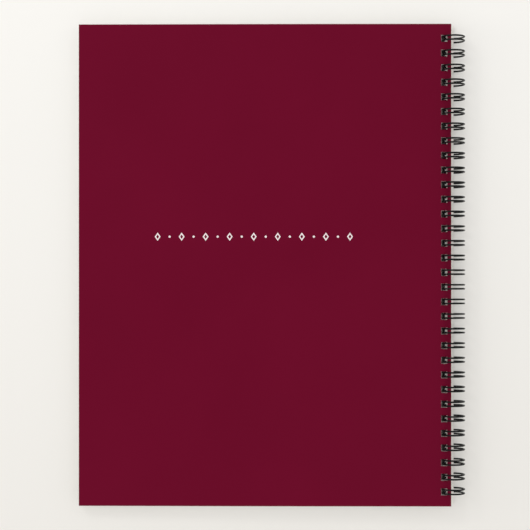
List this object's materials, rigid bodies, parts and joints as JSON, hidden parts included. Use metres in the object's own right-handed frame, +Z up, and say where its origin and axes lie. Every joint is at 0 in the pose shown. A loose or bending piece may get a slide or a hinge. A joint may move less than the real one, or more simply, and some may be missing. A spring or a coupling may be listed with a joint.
{
  "type": "wire-bound journal",
  "caption": "Letter-size wire-bound prayer journal: laminated card covers and a block of punched sheets that turn on a black twin-loop wire spine.",
  "frame": {"origin": "middle of the closed journal's footprint, on the surface that it lies on", "axes": "+X across the cover to the wire spine, +Y up the page, +Z up out of the front cover"},
  "size_m": [0.2243, 0.2794, 0.0138],
  "materials": {
    "cover_film": "satin",
    "cover_card": "matte",
    "page_paper": "matte",
    "black_wire": "gloss"
  },
  "bodies": {
    "back_cover": {"back_cover_board": "cover_card", "back_cover_film": "cover_film"},
    "wire_spine": {"wire_spine": "black_wire"},
    "pages_46_50": {"sheet_46": "page_paper", "sheet_47": "page_paper", "sheet_48": "page_paper", "sheet_49": "page_paper", "sheet_50": "page_paper"},
    "pages_41_45": {"sheet_41": "page_paper", "sheet_42": "page_paper", "sheet_43": "page_paper", "sheet_44": "page_paper", "sheet_45": "page_paper"},
    "pages_36_40": {"sheet_36": "page_paper", "sheet_37": "page_paper", "sheet_38": "page_paper", "sheet_39": "page_paper", "sheet_40": "page_paper"},
    "pages_31_35": {"sheet_31": "page_paper", "sheet_32": "page_paper", "sheet_33": "page_paper", "sheet_34": "page_paper", "sheet_35": "page_paper"},
    "pages_26_30": {"sheet_26": "page_paper", "sheet_27": "page_paper", "sheet_28": "page_paper", "sheet_29": "page_paper", "sheet_30": "page_paper"},
    "pages_21_25": {"sheet_21": "page_paper", "sheet_22": "page_paper", "sheet_23": "page_paper", "sheet_24": "page_paper", "sheet_25": "page_paper"},
    "pages_16_20": {"sheet_16": "page_paper", "sheet_17": "page_paper", "sheet_18": "page_paper", "sheet_19": "page_paper", "sheet_20": "page_paper"},
    "pages_11_15": {"sheet_11": "page_paper", "sheet_12": "page_paper", "sheet_13": "page_paper", "sheet_14": "page_paper", "sheet_15": "page_paper"},
    "pages_06_10": {"sheet_06": "page_paper", "sheet_07": "page_paper", "sheet_08": "page_paper", "sheet_09": "page_paper", "sheet_10": "page_paper"},
    "pages_02_05": {"sheet_02": "page_paper", "sheet_03": "page_paper", "sheet_04": "page_paper", "sheet_05": "page_paper"},
    "page_01": {"sheet_01": "page_paper"},
    "front_cover": {"front_cover_board": "cover_card", "front_cover_film": "cover_film"}
  },
  "joints": [
    {"name": "wire_spine_turn", "type": "hinge", "parent": "back_cover", "child": "wire_spine", "pos_m": [0.1052, 0, 0.0069], "axis": [0, 1, 0], "range_deg": [0, 180]},
    {"name": "pages_46_50_turn", "type": "hinge", "parent": "wire_spine", "child": "pages_46_50", "pos_m": [0.1052, 0, 0.0069], "axis": [0, 1, 0], "range_deg": [0, 180]},
    {"name": "pages_41_45_turn", "type": "hinge", "parent": "pages_46_50", "child": "pages_41_45", "pos_m": [0.1052, 0, 0.0069], "axis": [0, 1, 0], "range_deg": [0, 180]},
    {"name": "pages_36_40_turn", "type": "hinge", "parent": "pages_41_45", "child": "pages_36_40", "pos_m": [0.1052, 0, 0.0069], "axis": [0, 1, 0], "range_deg": [0, 180]},
    {"name": "pages_31_35_turn", "type": "hinge", "parent": "pages_36_40", "child": "pages_31_35", "pos_m": [0.1052, 0, 0.0069], "axis": [0, 1, 0], "range_deg": [0, 180]},
    {"name": "pages_26_30_turn", "type": "hinge", "parent": "pages_31_35", "child": "pages_26_30", "pos_m": [0.1052, 0, 0.0069], "axis": [0, 1, 0], "range_deg": [0, 180]},
    {"name": "pages_21_25_turn", "type": "hinge", "parent": "pages_26_30", "child": "pages_21_25", "pos_m": [0.1052, 0, 0.0069], "axis": [0, 1, 0], "range_deg": [0, 180]},
    {"name": "pages_16_20_turn", "type": "hinge", "parent": "pages_21_25", "child": "pages_16_20", "pos_m": [0.1052, 0, 0.0069], "axis": [0, 1, 0], "range_deg": [0, 180]},
    {"name": "pages_11_15_turn", "type": "hinge", "parent": "pages_16_20", "child": "pages_11_15", "pos_m": [0.1052, 0, 0.0069], "axis": [0, 1, 0], "range_deg": [0, 180]},
    {"name": "pages_06_10_turn", "type": "hinge", "parent": "pages_11_15", "child": "pages_06_10", "pos_m": [0.1052, 0, 0.0069], "axis": [0, 1, 0], "range_deg": [0, 180]},
    {"name": "pages_02_05_turn", "type": "hinge", "parent": "pages_06_10", "child": "pages_02_05", "pos_m": [0.1052, 0, 0.0069], "axis": [0, 1, 0], "range_deg": [0, 180]},
    {"name": "page_01_turn", "type": "hinge", "parent": "pages_02_05", "child": "page_01", "pos_m": [0.1052, 0, 0.0069], "axis": [0, 1, 0], "range_deg": [0, 180]},
    {"name": "front_cover_turn", "type": "hinge", "parent": "page_01", "child": "front_cover", "pos_m": [0.1052, 0, 0.0069], "axis": [0, 1, 0], "range_deg": [0, 181.8]}
  ]
}
